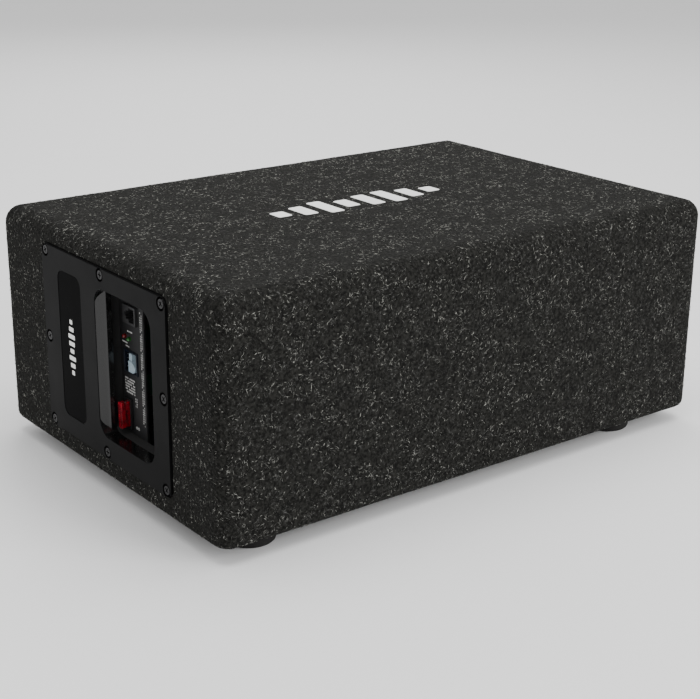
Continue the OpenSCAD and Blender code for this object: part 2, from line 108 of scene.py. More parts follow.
class Wire:
    """A shader socket that does sums, so that masks are written as plain expressions."""

    def __init__(self, paint: "Paint", socket: bpy.types.NodeSocket) -> None:
        """Keeps the socket and the paint that it belongs to.

        Args:
            paint: The material builder that makes any new node.
            socket: The output socket that carries the value.
        """
        self.paint = paint
        self.socket = socket

    def math(self, operation: str, first: Number, second: Number = 0.0) -> "Wire":
        """Adds a Math node.

        Args:
            operation: The Math node's operation.
            first: The first value.
            second: The second value.

        Returns:
            The result's wire.
        """
        return self.paint.node("ShaderNodeMath", {"operation": operation}, {0: first, 1: second})

    def __add__(self, other: Number) -> "Wire":
        """Adds."""
        return self.math("ADD", self, other)

    __radd__ = __add__

    def __rsub__(self, other: Number) -> "Wire":
        """Subtracts from a number."""
        return self.math("SUBTRACT", other, self)

    def __mul__(self, other: Number) -> "Wire":
        """Multiplies."""
        return self.math("MULTIPLY", self, other)

    __rmul__ = __mul__

    def either(self, other: Number) -> "Wire":
        """The larger of the two."""
        return self.math("MAXIMUM", self, other)

    def step(self, low: float, high: float) -> "Wire":
        """Ramps smoothly from 0 at low to 1 at high, or from 1 to 0 if high is the smaller.

        Args:
            low: The value that gives 0.
            high: The value that gives 1.

        Returns:
            The ramp's wire.
        """
        ends = {1: low, 2: high, 3: 0.0, 4: 1.0}
        if low > high:
            ends = {1: high, 2: low, 3: 1.0, 4: 0.0}
        return self.paint.node("ShaderNodeMapRange", {"interpolation_type": "SMOOTHSTEP"}, {0: self, **ends})


class Paint:
    """Builds one material's node tree round a Principled shader."""

    def __init__(self, name: str) -> None:
        """Starts an empty material.

        Args:
            name: The material's name.
        """
        self.material = bpy.data.materials.new(name)
        self.material.use_nodes = True
        self.tree = self.material.node_tree
        self.shader = self.tree.nodes["Principled BSDF"]
        self.place = self.node("ShaderNodeTexCoord", output="Object")

    def node(self, kind: str, settings: Optional[dict] = None, inputs: Optional[dict] = None,
             output: Union[int, str] = 0) -> Wire:
        """Adds any node.

        Args:
            kind: The node's type.
            settings: Properties to set first.
            inputs: Values or wires by socket name or number.
            output: The output socket to return.

        Returns:
            The chosen output's wire.
        """
        made = self.tree.nodes.new(kind)
        for key, value in (settings or {}).items():
            setattr(made, key, value)
        for key, value in (inputs or {}).items():
            if isinstance(value, Wire):
                self.tree.links.new(value.socket, made.inputs[key])
            else:
                made.inputs[key].default_value = value
        return Wire(self, made.outputs[output])

    def shifted(self, amount: Wire, reach: float) -> Wire:
        """The object's coordinates pushed about by a colour noise.

        Args:
            amount: The noise, from 0 to 1 on each axis.
            reach: How far it pushes, in metres.

        Returns:
            The new coordinates.
        """
        centred = self.node("ShaderNodeVectorMath", {"operation": "SUBTRACT"},
                            {0: amount, 1: (0.5, 0.5, 0.5)})
        scaled = self.node("ShaderNodeVectorMath", {"operation": "SCALE"}, {0: centred, "Scale": reach})
        return self.node("ShaderNodeVectorMath", {"operation": "ADD"}, {0: self.place, 1: scaled})

    def stretched(self, scale: Colour) -> Wire:
        """The object's coordinates with each axis scaled."""
        return self.node("ShaderNodeMapping", inputs={"Vector": self.place, "Scale": scale})

    def noise(self, scale: float, detail: float = 2.0, where: Optional[Wire] = None) -> Wire:
        """Noise from 0 to 1.

        Args:
            scale: Features per metre.
            detail: Octaves.
            where: Coordinates, or None for the object's own.

        Returns:
            The noise's value.
        """
        values = {"Vector": where or self.place, "Scale": scale, "Detail": detail}
        return self.node("ShaderNodeTexNoise", inputs=values)

    def edges(self, scale: float, where: Wire) -> Wire:
        """Distance to the nearest cell edge of a Voronoi pattern."""
        return self.node("ShaderNodeTexVoronoi", {"feature": "DISTANCE_TO_EDGE"},
                         {"Vector": where, "Scale": scale}, "Distance")

    def blend(self, share: Number, first: Union[Wire, Colour], second: Union[Wire, Colour]) -> Wire:
        """Mixes two colours.

        Args:
            share: 0 gives the first and 1 the second.
            first: A colour or a wire.
            second: A colour or a wire.

        Returns:
            The mixed colour.
        """
        ends = [c if isinstance(c, Wire) else (*c, 1.0) for c in (first, second)]
        return self.node("ShaderNodeMix", {"data_type": "RGBA"}, {0: share, 6: ends[0], 7: ends[1]}, 2)

    def set(self, socket: str, value: Union[Number, Sequence[float]]) -> None:
        """Sets or links one of the shader's sockets.

        Args:
            socket: The Principled socket's name.
            value: A number, a colour or a wire.
        """
        target = self.shader.inputs[socket]
        if isinstance(value, Wire):
            self.tree.links.new(value.socket, target)
        elif isinstance(value, tuple):
            target.default_value = (*value, 1.0)
        else:
            target.default_value = value

    def bump(self, height: Wire, depth: float) -> None:
        """Feeds the shader's normal from a height.

        Args:
            height: The height, from 0 to 1.
            depth: The height of 1, in metres.
        """
        self.set("Normal", self.node("ShaderNodeBump", inputs={
            "Height": height, "Distance": depth, "Strength": 1.0}, output="Normal"))


# ---- finishes ----


@dataclass(frozen=True)
class Finish:
    """A plain moulded or painted surface with a fine grain."""

    name: str
    colour: Colour
    roughness: float = 0.5
    grain: float = 1500.0
    depth: float = 0.00006
    variation: float = 0.12
    shine: float = 0.5

    def make(self) -> bpy.types.Material:
        """Builds the material.

        Returns:
            The finished material.
        """
        paint = Paint(self.name)
        self.dress(paint)
        return paint.material

    def dress(self, paint: Paint) -> None:
        """Sets the shader's sockets.

        Args:
            paint: The material being built.
        """
        grain = paint.noise(self.grain, 3.0)
        broad = paint.noise(35.0, 2.0)
        darker = tuple(c * (1.0 - self.variation) for c in self.colour)
        lighter = tuple(c * (1.0 + self.variation) for c in self.colour)
        paint.set("Base Color", paint.blend(grain * 0.6 + broad * 0.4, darker, lighter))
        paint.set("Roughness", self.roughness - 0.06 + 0.12 * broad)
        paint.set("Specular IOR Level", self.shine)
        paint.bump(grain, self.depth)


@dataclass(frozen=True)
class Felt(Finish):
    """Needle-punched carpet: a dark felt with pale curled fibres lying in it."""

    pale: Colour = (0.2, 0.2, 0.195)

    def dress(self, paint: Paint) -> None:
        """Draws the fibre net in two sizes over a mottled ground."""
        drift = paint.node("ShaderNodeTexNoise", inputs={
            "Vector": paint.place, "Scale": 520.0, "Detail": 2.0}, output="Color")
        where = paint.shifted(drift, 0.003)
        crowd = paint.noise(120.0, 2.0)
        patches = paint.noise(520.0, 2.0)
        fine = paint.noise(1300.0, 2.0)
        broad = paint.noise(28.0, 2.0)
        long_fibres = paint.edges(380.0, where).step(0.06, 0.015) * patches.step(0.55, 0.64)
        short_fibres = paint.edges(760.0, where).step(0.09, 0.03) * fine.step(0.56, 0.68)
        fibres = long_fibres.either(short_fibres * 0.7) * crowd.step(0.38, 0.6)
        ground = paint.blend(patches.step(0.3, 0.7), tuple(c * 0.4 for c in self.colour),
                             tuple(c * 1.8 for c in self.colour))
        paint.set("Base Color", paint.blend(fibres * (0.35 + 0.5 * broad), ground, self.pale))
        paint.set("Roughness", 0.96 - 0.1 * fibres)
        paint.set("Specular IOR Level", self.shine)
        paint.bump(fine * 0.7 + fibres * 0.6 + patches * 0.4, 0.0011)


@dataclass(frozen=True)
class Strand(Finish):
    """The loose fibres: pale, each patch a little lighter or darker."""

    def dress(self, paint: Paint) -> None:
        """Varies the grey from fibre to fibre."""
        tone = paint.noise(480.0, 1.0)
        paint.set("Base Color", paint.blend(tone.step(0.38, 0.68), tuple(c * 0.15 for c in self.colour),
                                            self.colour))
        paint.set("Roughness", 0.75 + 0.1 * tone)
        paint.set("Specular IOR Level", self.shine)


@dataclass(frozen=True)
class Gloss(Finish):
    """Polished plastic with a faint film of dust."""

    def dress(self, paint: Paint) -> None:
        """Keeps the surface clear, with a soft smear in the shine."""
        smear = paint.noise(60.0, 4.0)
        dust = paint.noise(self.grain, 2.0).step(0.6, 0.75)
        paint.set("Base Color", paint.blend(dust * 0.1, self.colour, (0.06, 0.06, 0.06)))
        paint.set("Roughness", self.roughness + 0.08 * smear + 0.2 * dust)
        paint.set("Specular IOR Level", self.shine)
        paint.bump(smear, self.depth)


@dataclass(frozen=True)
class Metal(Finish):
    """Bare or plated metal, brushed along one axis."""

    along: Axis = Axis.X

    def dress(self, paint: Paint) -> None:
        """Draws the brush marks as noise stretched along the axis."""
        scale = [1.0, 1.0, 1.0]
        scale[self.along.value] = 0.03
        brushed = paint.noise(self.grain, 3.0, paint.stretched(tuple(scale)))
        broad = paint.noise(40.0, 2.0)
        darker = tuple(c * (1.0 - self.variation) for c in self.colour)
        paint.set("Base Color", paint.blend(brushed * 0.6 + broad * 0.4, darker, self.colour))
        paint.set("Metallic", 1.0)
        paint.set("Roughness", self.roughness - 0.08 + 0.16 * brushed)
        paint.bump(brushed, self.depth)


@dataclass(frozen=True)
class Fibreboard(Finish):
    """Raw board: pale pressed fibres with darker specks."""

    def dress(self, paint: Paint) -> None:
        """Scatters specks over a soft mottle."""
        specks = paint.noise(self.grain, 4.0).step(0.55, 0.75)
        mottle = paint.noise(120.0, 3.0)
        dark = tuple(c * 0.45 for c in self.colour)
        ground = paint.blend(mottle, self.colour, tuple(min(1.0, c * 1.25) for c in self.colour))
        paint.set("Base Color", paint.blend(specks * 0.7, ground, dark))
        paint.set("Roughness", 0.8 + 0.1 * mottle)
        paint.bump(specks + mottle, self.depth)


@dataclass(frozen=True)
class Clear(Finish):
    """Tinted see-through plastic."""

    # Emission strength: lamp light on the LEDs, but on the fuse, which is no lamp, a painted glow.
    glow: float = 0.0
    ribs: float = 0.0

    def dress(self, paint: Paint) -> None:
        """Tints the plastic, a little unevenly, with flow marks and moulded ribs."""
        flow = paint.noise(260.0, 3.0, paint.stretched((1.0, 1.0, 0.6)))
        deep = tuple(c * 0.2 for c in self.colour)
        tint = paint.blend(flow.step(0.3, 0.7), deep, self.colour)
        paint.set("Base Color", tint)
        paint.set("Roughness", self.roughness + 0.08 * flow)
        paint.set("Transmission Weight", 0.4)
        paint.set("IOR", 1.49)
        # The emission is real lamp light for the LEDs and a painted glow for the fuse.
        if self.glow:
            paint.set("Emission Color", tint)
            paint.set("Emission Strength", self.glow)
        height = flow
        if self.ribs:
            height = flow * 0.4 + paint.node("ShaderNodeTexWave", {"bands_direction": "Z"}, {
                "Vector": paint.place, "Scale": self.ribs})
        paint.bump(height, self.depth)


@dataclass(frozen=True)
class Winding(Finish):
    """Enamelled wire laid turn beside turn."""

    def dress(self, paint: Paint) -> None:
        """Draws the turns as fine bands along the Z axis."""
        bands = paint.node("ShaderNodeTexWave", {"bands_direction": "Z"}, {
            "Vector": paint.place, "Scale": self.grain, "Distortion": 0.4})
        paint.set("Base Color", paint.blend(bands, tuple(c * 0.4 for c in self.colour), self.colour))
        paint.set("Metallic", 0.8)
        paint.set("Roughness", self.roughness + 0.1 * bands)
        paint.bump(bands, self.depth)


@dataclass(frozen=True)
class Pulp(Finish):
    """Pressed and coated paper, with fibres and faint moulded rings."""

    centre: tuple[float, float] = (0.0, 0.0)
    rings: float = 900.0

    def dress(self, paint: Paint) -> None:
        """Adds rings about the driver's axis to a fibrous ground."""
        moved = paint.node("ShaderNodeVectorMath", {"operation": "SUBTRACT"}, {
            0: paint.place, 1: (self.centre[0], self.centre[1], 0.0)})
        flat = paint.node("ShaderNodeVectorMath", {"operation": "MULTIPLY"}, {0: moved, 1: (1.0, 1.0, 0.0)})
        radius = paint.node("ShaderNodeVectorMath", {"operation": "LENGTH"}, {0: flat}, "Value")
        phase = radius * self.rings
        rings = phase.math("SINE", phase) * 0.5 + 0.5
        fibres = paint.noise(self.grain, 4.0)
        lighter = tuple(c * 1.9 for c in self.colour)
        paint.set("Base Color", paint.blend(fibres * 0.7 + rings * 0.2, self.colour, lighter))
        paint.set("Roughness", self.roughness + 0.15 * fibres)
        paint.bump(fibres + rings * 0.6, self.depth)


class Finishes:
    """Every finish on the object, each made once."""

    def __init__(self, driver_centre: tuple[float, float]) -> None:
        """Makes the materials.

        Args:
            driver_centre: The driver's axis in X and Y, in metres.
        """
        listed = [
            Felt("charcoal_felt", (0.0108, 0.0107, 0.0096), shine=0.1),
            Strand("pale_fibre", (0.42, 0.42, 0.385), shine=0.15),
            Finish("textured_satin", (0.0036, 0.0036, 0.0037), 0.5, 2600.0, 0.00003, shine=0.05),
            Gloss("polished_black", (0.005, 0.005, 0.005), 0.1, 900.0, 0.00001),
            Gloss("label_gloss", (0.0004, 0.0004, 0.0005), 0.25, 900.0, 0.00001, shine=0.008),
            Finish("white_print", (0.82, 0.82, 0.8), 0.5, 1800.0, 0.00005, 0.05),
            Finish("small_print", (0.42, 0.42, 0.41), 0.6, 1800.0, 0.00001, 0.1, 0.2),
            Finish("black_foam", (0.01, 0.01, 0.01), 0.9, 1800.0, 0.0002, 0.4),
            Finish("powder_coat", (0.011, 0.011, 0.0115), 0.5, 1600.0, 0.00006, shine=0.3),
            Finish("black_nylon", (0.01, 0.01, 0.0105), 0.38, 1500.0, 0.00003, shine=0.35),
            Finish("moulded_port", (0.018, 0.018, 0.018), 0.45, 1100.0, 0.00005),
            Finish("foot_rubber", (0.011, 0.0105, 0.01), 0.75, 900.0, 0.0003, 0.6, 0.2),
            Finish("roll_rubber", (0.012, 0.012, 0.012), 0.5, 1300.0, 0.00005, 0.2),
            Finish("wire_sleeve", (0.35, 0.015, 0.015), 0.4, 900.0, 0.00003),
            Finish("sintered_ferrite", (0.045, 0.045, 0.048), 0.6, 1300.0, 0.0001, 0.3),
            Finish("can_sleeve", (0.012, 0.018, 0.06), 0.3, 900.0, 0.00002),
            Finish("core_paint", (0.25, 0.24, 0.07), 0.45, 900.0, 0.00005),
            Finish("polyester_wool", (0.78, 0.78, 0.76), 0.95, 420.0, 0.0015, 0.3),
            Finish("dipped_cloth", (0.5, 0.36, 0.12), 0.85, 1600.0, 0.0003, 0.35),
            Finish("solder_mask", (0.012, 0.1, 0.04), 0.3, 900.0, 0.00003, 0.35),
            Finish("phenolic", (0.4, 0.26, 0.13), 0.6, 900.0, 0.00005, 0.3),
            Finish("epoxy_black", (0.018, 0.018, 0.019), 0.4, 700.0, 0.00012),
            Finish("black_oxide", (0.006, 0.006, 0.0063), 0.22, 1500.0, 0.00003, shine=0.15),
            Finish("jack_nylon", (0.02, 0.02, 0.021), 0.35, 1500.0, 0.00003),
            Finish("header_nylon", (0.005, 0.007, 0.013), 0.3, 1200.0, 0.00002, shine=0.35),
            Finish("pale_nylon", (0.3, 0.38, 0.43), 0.32, 500.0, 0.0002, 0.5),
            Metal("zinc_plate", (0.62, 0.62, 0.6), 0.35, 900.0, 0.00003),
            Metal("galvanised", (0.55, 0.56, 0.57), 0.4, 500.0, 0.00003, 0.2),
            Metal("extruded_aluminium", (0.4, 0.4, 0.41), 0.45, 900.0, 0.00005),
            Metal("turned_brass", (0.75, 0.53, 0.22), 0.3, 900.0, 0.00003),
            Metal("gold_flash", (0.9, 0.65, 0.27), 0.22, 900.0, 0.00001),
            Metal("tinned", (0.72, 0.72, 0.71), 0.28, 900.0, 0.00001),
            Metal("bare_steel", (0.45, 0.45, 0.44), 0.45, 900.0, 0.00005),
            Metal("bright_foil", (0.75, 0.75, 0.75), 0.25, 700.0, 0.00002),
            Winding("enamelled_wire", (0.62, 0.26, 0.1), 0.35, 900.0, 0.00008),
            Fibreboard("raw_board", (0.42, 0.28, 0.16), 0.8, 700.0, 0.00015),
            # The fuse is no lamp: its glow is painted light in the red plastic.
            Clear("fuse_red", (0.45, 0.004, 0.02), 0.12, 900.0, 0.00005, ribs=160.0, glow=0.015),
            Clear("lamp_red", (0.25, 0.005, 0.01), 0.12, 900.0, 0.00001, glow=0.06),
            Clear("lamp_green", (0.03, 0.24, 0.03), 0.12, 900.0, 0.00001, glow=0.15),
            Pulp("coated_pulp", (0.013, 0.013, 0.014), 0.5, 1100.0, 0.00015, centre=driver_centre),
            Pulp("dome_skin", (0.012, 0.012, 0.012), 0.42, 2200.0, 0.00004, centre=driver_centre),
        ]
        self.made = {finish.name: finish.make() for finish in listed}

    def __getitem__(self, name: str) -> bpy.types.Material:
        """The material of that name."""
        return self.made[name]


# ---- modelling ----


def corners(node: str) -> tuple[Vector, Vector]:
    """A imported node's lowest and highest corner at rest."""
    low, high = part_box(node)
    return Vector(low), Vector(high)


def deselect() -> None:
    """Leaves object mode with nothing selected."""
    if bpy.context.object and bpy.context.object.mode != "OBJECT":
        bpy.ops.object.mode_set(mode="OBJECT")
    bpy.ops.object.select_all(action="DESELECT")


def pick(piece: bpy.types.Object) -> None:
    """Makes a piece the only selected and the active one."""
    deselect()
    piece.select_set(True)
    bpy.context.view_layer.objects.active = piece


def settle(piece: bpy.types.Object) -> None:
    """Puts the object's place, turn and scale into its mesh."""
    pick(piece)
    bpy.ops.object.transform_apply(location=True, rotation=True, scale=True)


def apply_modifier(piece: bpy.types.Object, kind: str, **settings: object) -> None:
    """Adds a modifier and applies it.

    Args:
        piece: The object.
        kind: The modifier's type.
        settings: The modifier's properties.
    """
    pick(piece)
    modifier = piece.modifiers.new(kind.title(), kind)
    for key, value in settings.items():
        setattr(modifier, key, value)
    bpy.ops.object.modifier_apply(modifier=modifier.name)


def select_edges(piece: bpy.types.Object, wanted: Test) -> None:
    """Enters edit mode with only the edges that pass a test selected.

    Args:
        piece: The object.
        wanted: Takes an edge's middle and its direction.
    """
    pick(piece)
    bpy.ops.object.mode_set(mode="EDIT")
    bpy.ops.mesh.select_mode(type="EDGE")
    bpy.ops.mesh.select_all(action="DESELECT")
    mesh = bmesh.from_edit_mesh(piece.data)
    for edge in mesh.edges:
        ends = [v.co for v in edge.verts]
        edge.select_set(wanted((ends[0] + ends[1]) / 2, (ends[1] - ends[0]).normalized()))
    bmesh.update_edit_mesh(piece.data)


def bevel_edges(piece: bpy.types.Object, wanted: Test, radius: float, segments: int) -> None:
    """Rounds the edges that pass a test.

    Args:
        piece: The object.
        wanted: Takes an edge's middle and its direction.
        radius: The round's radius, in metres.
        segments: How many strips the round has.
    """
    select_edges(piece, wanted)
    bpy.ops.mesh.bevel(offset=radius, segments=segments, affect="EDGES")
    bpy.ops.object.mode_set(mode="OBJECT")


def along(axis: Axis) -> Test:
    """A test for the edges that run along an axis."""
    return lambda middle, way: abs(way[axis.value]) > 0.999


def block(name: str, low: Vector, high: Vector) -> bpy.types.Object:
    """A cuboid between two corners.

    Args:
        name: The object's name.
        low: Its lowest corner.
        high: Its highest corner.

    Returns:
        The object, with its place in its mesh.
    """
    deselect()
    bpy.ops.mesh.primitive_cube_add(size=1.0, location=(low + high) / 2, scale=high - low)
    piece = bpy.context.object
    piece.name = name
    settle(piece)
    return piece


def drum(name: str, centre: Vector, radius: float, length: float, sides: int = 96) -> bpy.types.Object:
    """An upright cylinder.

    Args:
        name: The object's name.
        centre: Its middle.
        radius: Its radius.
        length: Its length.
        sides: How many sides it has.

    Returns:
        The object, with its place in its mesh.
    """
    deselect()
    bpy.ops.mesh.primitive_cylinder_add(vertices=sides, radius=radius, depth=length, location=centre)
    piece = bpy.context.object
    piece.name = name
    settle(piece)
    return piece


def cut_away(piece: bpy.types.Object, cutter: bpy.types.Object) -> None:
    """Cuts another shape away from a piece and removes the other shape.

    Args:
        piece: The object that is kept.
        cutter: The shape that is cut away.
    """
    apply_modifier(piece, "BOOLEAN", object=cutter, operation="DIFFERENCE", solver="EXACT")
    bpy.data.objects.remove(cutter)


def smooth(piece: bpy.types.Object, degrees: float = 35.0) -> None:
    """Shades a piece smooth across shallow edges."""
    pick(piece)
    bpy.ops.object.shade_smooth_by_angle(angle=math.radians(degrees))


def paint_over(piece: bpy.types.Object, material: bpy.types.Material) -> None:
    """Gives a piece one material all over."""
    piece.data.materials.clear()
    piece.data.materials.append(material)


def refined(frame: dict, node: str, name: str, width: float, segments: int = 2,
            degrees: float = 35.0) -> bpy.types.Object:
    """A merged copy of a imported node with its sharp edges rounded.

    Args:
        frame: The loaded frame.
        node: The node to copy.
        name: The new piece's name.
        width: The round's width, in metres, or 0 for none.
        segments: How many strips the round has.
        degrees: The angle above which an edge is sharp.

    Returns:
        The new piece.
    """
    source = frame["nodes"][node]
    piece = bpy.data.objects.new(name, source.data.copy())
    bpy.context.scene.collection.objects.link(piece)
    pick(piece)
    bpy.ops.object.mode_set(mode="EDIT")
    bpy.ops.mesh.select_all(action="SELECT")
    bpy.ops.mesh.remove_doubles(threshold=0.002 * MM)
    bpy.ops.mesh.dissolve_limited(angle_limit=math.radians(0.5))
    bpy.ops.mesh.customdata_custom_splitnormals_clear()
    bpy.ops.object.mode_set(mode="OBJECT")
    if width:
        apply_modifier(piece, "BEVEL", width=width, segments=segments, limit_method="ANGLE",
                       angle_limit=math.radians(degrees), use_clamp_overlap=True)
    smooth(piece, degrees)
    apply_modifier(piece, "WEIGHTED_NORMAL", keep_sharp=True)
    return piece


@dataclass
class Workshop:
    """What every sub-assembly needs: the frame and the finishes."""

    frame: dict
    finishes: Finishes

    def hand_over(self, piece: bpy.types.Object, body: Body, slot: str, nodes: Iterable[str] = ()) -> None:
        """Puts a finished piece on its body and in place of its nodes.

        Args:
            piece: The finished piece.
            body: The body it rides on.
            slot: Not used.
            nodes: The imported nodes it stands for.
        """
        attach(piece, body.value)
        if nodes:
            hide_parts(*nodes)
        log.info("%s: %d faces", piece.name, len(piece.data.polygons))

    def refine(self, node: str, finish: str, slot: str, width: float, body: Body = Body.CABINET,
               degrees: float = 35.0) -> None:
        """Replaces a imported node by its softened, finished copy.

        Args:
            node: The node's name.
            finish: The finish's name.
            slot: The material slot.
            width: The width of its rounded edges, in metres.
            body: The body it rides on.
            degrees: The angle above which an edge is sharp.
        """
        piece = refined(self.frame, node, f"{node}_finished", width, degrees=degrees)
        paint_over(piece, self.finishes[finish])
        self.hand_over(piece, body, slot, [node])

    def dress(self, finish: str, *nodes: str) -> None:
        """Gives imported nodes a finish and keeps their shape.

        Args:
            finish: The finish's name.
            nodes: The nodes' names.
        """
        for node in nodes:
            paint_over(self.frame["nodes"][node], self.finishes[finish])


@dataclass
class Cabinet:
    """The carpeted box, its feet and its emblem."""

    shop: Workshop
    wrap: float = 3.0 * MM
    top_round: float = 13.0 * MM
    side_round: float = 12.0 * MM
    bottom_round: float = 6.5 * MM
    unevenness: float = 0.5 * MM
    window_round: float = 7.5 * MM
    window_gap: float = 0.5 * MM
    window_reach: float = 10.0 * MM
    bar_gap: float = 5.0 * MM
    grid: float = 12.0 * MM
    fibre_density: float = 0.18
    clump_waves: int = 24
    seed: int = 7

    def build(self) -> None:
        """Builds the cabinet's pieces in order."""
        self.low, self.high = corners("carpet")
        skin = self.skin()
        self.fibres(skin)
        self.feet()
        self.emblem()
        self.inside()

    def rounded_block(self, name: str, inset: float) -> bpy.types.Object:
        """The cabinet's block, drawn in by an inset on every side.

        Args:
            name: The object's name.
            inset: How far it is drawn in.

        Returns:
            The block with its upright, top and bottom edges rounded.
        """
        step = Vector((inset, inset, inset))
        piece = block(name, self.low + step, self.high - step)
        bevel_edges(piece, along(Axis.Z), self.side_round - inset, 6)
        top, bottom = self.high.z - inset, self.low.z + inset
        bevel_edges(piece, lambda m, w: abs(m.z - top) < 0.1 * MM and abs(w.z) < 0.01,
                    self.top_round - inset, 6)
        bevel_edges(piece, lambda m, w: abs(m.z - bottom) < 0.1 * MM and abs(w.z) < 0.01,
                    self.bottom_round - inset, 4)
        return piece

    def skin(self) -> bpy.types.Object:
        """The carpet: a shell with its cut-outs for the panel, the driver and the port.

        Returns:
            The carpet's object.
        """
        skin = self.rounded_block("carpet_wrap", 0.0)
        self.divide(skin)
        clouds = bpy.data.textures.new("carpet_unevenness", "CLOUDS")
        clouds.noise_scale = 0.05
        apply_modifier(skin, "DISPLACE", texture=clouds, strength=self.unevenness, mid_level=0.75,
                       texture_coords="LOCAL")
        cut_away(skin, self.rounded_block("core", self.wrap))
        panel_low, panel_high = corners("panel")
        gap = Vector((0.0, self.window_gap, self.window_gap))
        reach = Vector((self.window_reach, 0.0, 0.0))
        window = block("window", panel_low - gap - reach, panel_high + gap)
        bevel_edges(window, along(Axis.X), self.window_round, 8)
        cut_away(skin, window)
        for node, spare in (("basket", 1.0 * MM), ("port_tube", 0.5 * MM)):
            low, high = corners(node)
            middle = Vector(((low.x + high.x) / 2, (low.y + high.y) / 2, self.low.z))
            cut_away(skin, drum("round_cut", middle, (high.x - low.x) / 2 + spare, 4 * self.wrap))
        smooth(skin, 40.0)
        paint_over(skin, self.shop.finishes["charcoal_felt"])
        self.shop.hand_over(skin, Body.CABINET, "carpet", ["carpet"])
        return skin

    def divide(self, piece: bpy.types.Object) -> None:
        """Cuts a piece's faces into a grid, so that its surface can be a little uneven.

        Args:
            piece: The object.
        """
        pick(piece)
        bpy.ops.object.mode_set(mode="EDIT")
        for axis in range(3):
            normal = [0.0, 0.0, 0.0]
            normal[axis] = 1.0
            length = self.high[axis] - self.low[axis] - 2 * self.top_round
            cuts = round(length / self.grid)
            for i in range(cuts + 1):
                place = [0.0, 0.0, 0.0]
                place[axis] = self.low[axis] + self.top_round + length * i / cuts
                bpy.ops.mesh.select_all(action="SELECT")
                bpy.ops.mesh.bisect(plane_co=place, plane_no=normal)
        bpy.ops.object.mode_set(mode="OBJECT")

    def fibre_shapes(self) -> tuple[list[np.ndarray], list[tuple[int, ...]]]:
        """A few curled fibres, each a thin three-sided thread that tapers to both ends.

        Returns:
            The fibres' points, lying along X with Z away from the carpet, and their shared faces.
        """
        shapes = []
        for bend in (-1.2, -0.7, -0.25, 0.25, 0.7, 1.2):
            deselect()
            bpy.ops.mesh.primitive_cylinder_add(vertices=3, radius=1.0, depth=1.0, end_fill_type="TRIFAN",
                                                rotation=(0.0, math.pi / 2, 0.0))
            thread = bpy.context.object
            settle(thread)
            faces = [tuple(p.vertices) for p in thread.data.polygons]
            points = np.array([v.co[:] for v in thread.data.vertices])
            tip = np.abs(points[:, 1:]).max(axis=1) < 1e-6
            points[:, 0] = np.where(tip, np.sign(points[:, 0]) * 0.5, np.sign(points[:, 0]) * 0.2)
            curve = bend * points[:, 0]
            shapes.append(np.stack([np.sin(curve) / bend, points[:, 1], points[:, 2],
                                    (1 - np.cos(curve)) / bend], axis=1))
            bpy.data.objects.remove(thread)
        return shapes, faces

    def fibres(self, skin: bpy.types.Object) -> None:
        """Lays loose curled fibres over the carpet, in one piece for each group of faces.

        Args:
            skin: The carpet.
        """
        shapes, faces = self.fibre_shapes()
        spots, normals, draw = self.spots(skin)
        upright = np.abs(normals[:, 2]) <= 0.5
        long_side = np.abs(normals[:, 1]) > np.abs(normals[:, 0])
        groups = {
            "fibres_top": normals[:, 2] > 0.5,
            "fibres_long_sides": long_side & upright,
            "fibres_ends": ~long_side & upright,
            "fibres_underside": normals[:, 2] < -0.5,
        }
        for name, chosen in groups.items():
            piece = self.lay(name, shapes, faces, spots[chosen], normals[chosen], draw)
            paint_over(piece, self.shop.finishes["pale_fibre"])
            self.shop.hand_over(piece, Body.CABINET, "carpet")

    def spots(self, skin: bpy.types.Object) -> tuple[np.ndarray, np.ndarray, np.random.Generator]:
        """Random places on the carpet's outside, clear of the emblem.

        Args:
            skin: The carpet.

        Returns:
            The places, the carpet's normals there, and the random draw, ready to go on.
        """
        draw = np.random.default_rng(self.seed)
        mesh = skin.data
        mesh.calc_loop_triangles()
        corners = np.array([[mesh.vertices[i].co[:] for i in t.vertices] for t in mesh.loop_triangles])
        cross = np.cross(corners[:, 1] - corners[:, 0], corners[:, 2] - corners[:, 0])
        size = np.linalg.norm(cross, axis=1)
        normal = cross / np.maximum(size, 1e-12)[:, None]
        middle = np.array((self.low + self.high) / 2)
        half = np.array((self.high - self.low) / 2)
        away = corners.mean(axis=1) - middle
        outer = (np.abs(away) > half - self.top_round).any(axis=1) & ((normal * away).sum(axis=1) > 0)
        depth = (half - np.abs(away)).min(axis=1)
        outer &= depth < self.top_round * 0.35
        weight = np.where(outer, size, 0.0)
        count = int(weight.sum() / 2 / MM**2 * self.fibre_density)
        chosen = draw.choice(len(weight), size=count, p=weight / weight.sum())
        a, b = draw.random((2, count))
        flip = a + b > 1
        a, b = np.where(flip, 1 - a, a), np.where(flip, 1 - b, b)
        tri = corners[chosen]
        spots = tri[:, 0] + a[:, None] * (tri[:, 1] - tri[:, 0]) + b[:, None] * (tri[:, 2] - tri[:, 0])
        bare = draw.random(count) > self.crowding(spots, draw)
        for low, high in self.bars():
            inside = (spots[:, :2] > low[:2] - 0.5 * MM) & (spots[:, :2] < high[:2] + 0.5 * MM)
            bare |= inside.all(axis=1) & (spots[:, 2] > low[2] - self.bar_gap)
        return spots[~bare], normal[chosen][~bare], draw

    def crowding(self, spots: np.ndarray, draw: np.random.Generator) -> np.ndarray:
        """How crowded the fibres are at each place, in soft clumps of random waves.

        Args:
            spots: The places.
            draw: The random draw.

        Returns:
            The share of fibres to keep at each place, from 0 to 1.
        """
        count = self.clump_waves
        way = draw.normal(size=(count, 3))
        way /= np.linalg.norm(way, axis=1)[:, None]
        length = draw.uniform(5.0, 24.0, count) * MM
        start = draw.random(count) * 2 * math.pi
        waves = np.cos(spots @ (way * (2 * math.pi / length)[:, None]).T + start)
        return np.clip(0.45 + 0.12 * waves.sum(axis=1), 0.05, 1.0)

